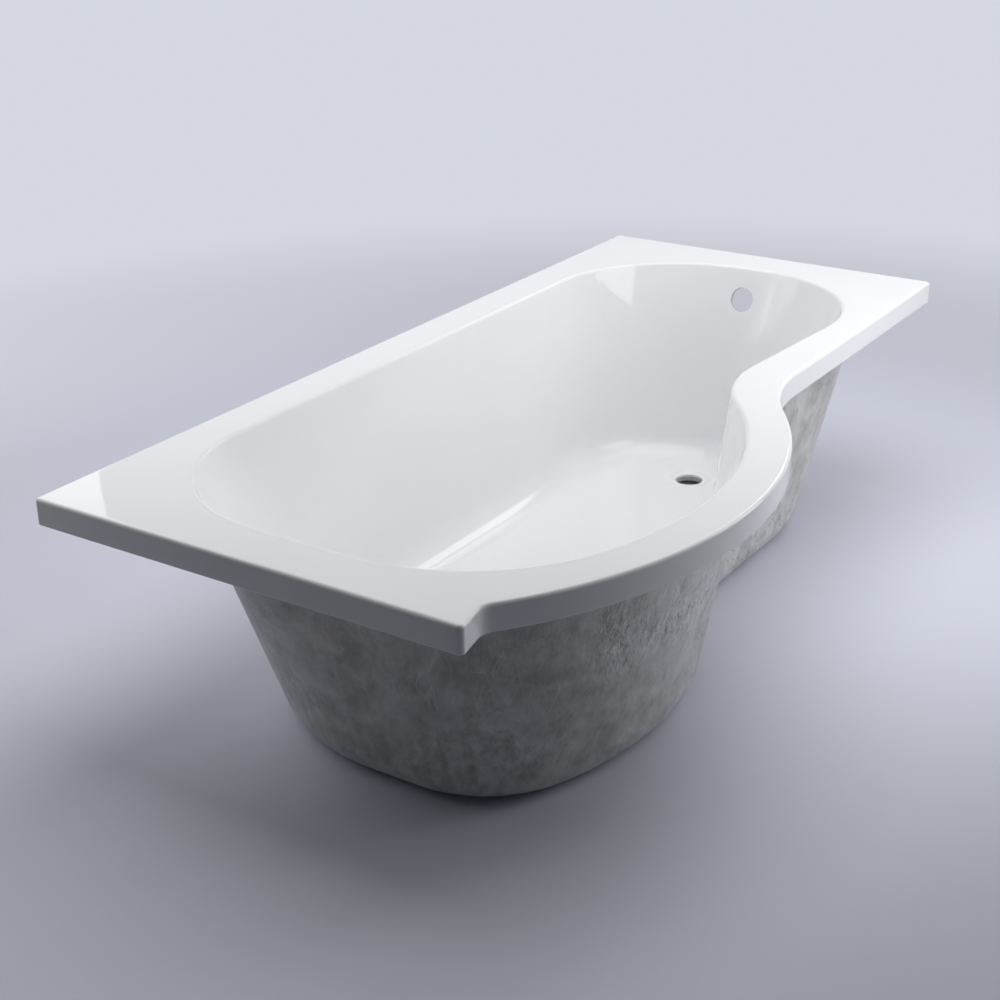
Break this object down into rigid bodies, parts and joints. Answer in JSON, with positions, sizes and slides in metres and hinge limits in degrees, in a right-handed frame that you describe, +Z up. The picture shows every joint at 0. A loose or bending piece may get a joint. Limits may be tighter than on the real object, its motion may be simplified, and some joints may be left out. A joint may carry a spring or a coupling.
{
  "type": "shower bath",
  "caption": "Shower bath tub with a bowed showering end: glossy white moulded bowl and rim on a grey glass-fibre backed body with a flat base, waste and overflow holes.",
  "frame": {"origin": "on the floor, under the middle of the overall length and width, at the underside of the flat base", "axes": "+X along the bath towards the tap and waste end, -X towards the wide showering end, +Y towards the wall side, -Y towards the bowed front, +Z up"},
  "size_m": [1.7, 0.8998, 0.41],
  "materials": {
    "white_acrylic": "high gloss",
    "glass_fibre_resin": "satin, marbled",
    "base_board_wood": "plain board",
    "batten_timber": "sawn"
  },
  "bodies": {
    "root": {"acrylic_shell": "white_acrylic", "glass_fibre_inner_coat": "glass_fibre_resin", "glass_fibre_outer_coat": "glass_fibre_resin", "base_board": "base_board_wood", "rim_batten_wall": "batten_timber", "rim_batten_near_end": "batten_timber", "rim_batten_tap_end": "batten_timber", "rim_batten_front": "batten_timber", "rim_batten_bow": "batten_timber"}
  },
  "joints": []
}
